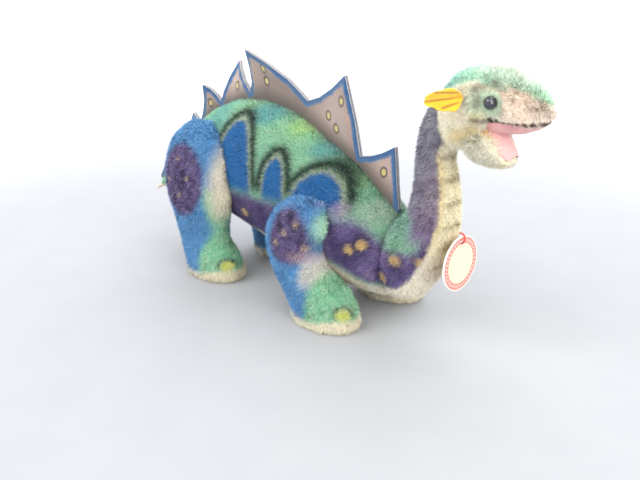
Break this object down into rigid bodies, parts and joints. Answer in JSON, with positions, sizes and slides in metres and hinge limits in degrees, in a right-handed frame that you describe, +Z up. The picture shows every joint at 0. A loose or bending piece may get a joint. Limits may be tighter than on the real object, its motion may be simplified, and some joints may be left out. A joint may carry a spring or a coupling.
{
  "type": "stuffed dinosaur",
  "caption": "Free-standing stuffed dinosaur in airbrushed mohair, with a long neck, open felt-lined mouth, tall felt back crest, folded felt ears and a plain swing tag.",
  "frame": {"origin": "on the floor plane, midway between nose and tail tip and midway between the two sides", "axes": "+X towards the nose, +Y towards the toy's left, +Z up"},
  "size_m": [0.32, 0.092, 0.144],
  "materials": {
    "green_mohair": "short mohair pile, airbrushed green with blue, purple and dark marks",
    "cream_mohair": "cream mohair pile",
    "grey_mohair": "short mohair pile, airbrushed purple grey",
    "mint_mohair": "short mohair pile, airbrushed mint green",
    "wood_wool": "packed wood wool",
    "taupe_felt": "matt wool felt with a blue painted edge",
    "yellow_felt": "matt wool felt with painted veins",
    "pink_felt": "matt wool felt",
    "black_glass": "glossy",
    "card": "coated card",
    "thread": "twisted cotton"
  },
  "bodies": {
    "toy": {"body_panel_right": "green_mohair", "body_panel_left": "green_mohair", "belly_gusset": "cream_mohair", "neck_panel_right": "grey_mohair", "neck_panel_left": "grey_mohair", "throat_gusset": "cream_mohair", "head_cap": "mint_mohair", "face_right": "cream_mohair", "face_left": "cream_mohair", "jaw_skin": "cream_mohair", "mouth_roof_felt": "pink_felt", "mouth_floor_felt": "pink_felt", "body_stuffing": "wood_wool", "neck_stuffing": "wood_wool", "head_stuffing": "wood_wool", "jaw_stuffing": "wood_wool", "crest_felt_right": "taupe_felt", "crest_felt_left": "taupe_felt", "eye_right": "black_glass", "eye_left": "black_glass", "front_leg_right_skin": "green_mohair", "front_leg_right_stuffing": "wood_wool", "front_leg_right_sole": "cream_mohair", "front_leg_left_skin": "green_mohair", "front_leg_left_stuffing": "wood_wool", "front_leg_left_sole": "cream_mohair", "hind_leg_right_skin": "green_mohair", "hind_leg_right_stuffing": "wood_wool", "hind_leg_right_sole": "cream_mohair", "hind_leg_left_skin": "green_mohair", "hind_leg_left_stuffing": "wood_wool", "hind_leg_left_sole": "cream_mohair"},
    "ear_right": {"ear_right": "yellow_felt"},
    "ear_left": {"ear_left": "yellow_felt"},
    "tag_loop": {"tag_thread": "thread"},
    "tag": {"tag_card": "card"}
  },
  "joints": [
    {"name": "ear_right_flap", "type": "hinge", "parent": "toy", "child": "ear_right", "pos_m": [0.126, -0.0174, 0.1315], "axis": [0, 0, 1], "range_deg": [-15, 35], "stiffness_Nm_per_rad": 0.0015},
    {"name": "ear_left_flap", "type": "hinge", "parent": "toy", "child": "ear_left", "pos_m": [0.126, 0.0174, 0.1315], "axis": [0, 0, -1], "range_deg": [-15, 35], "stiffness_Nm_per_rad": 0.0015},
    {"name": "tag_loop_sway", "type": "hinge", "parent": "toy", "child": "tag_loop", "pos_m": [0.11555, 0, 0.0566], "axis": [1, 0, 0], "range_deg": [-35, 35]},
    {"name": "tag_swing", "type": "hinge", "parent": "tag_loop", "child": "tag", "pos_m": [0.11985, 0, 0.0566], "axis": [0, -1, 0], "range_deg": [-3, 50]}
  ]
}
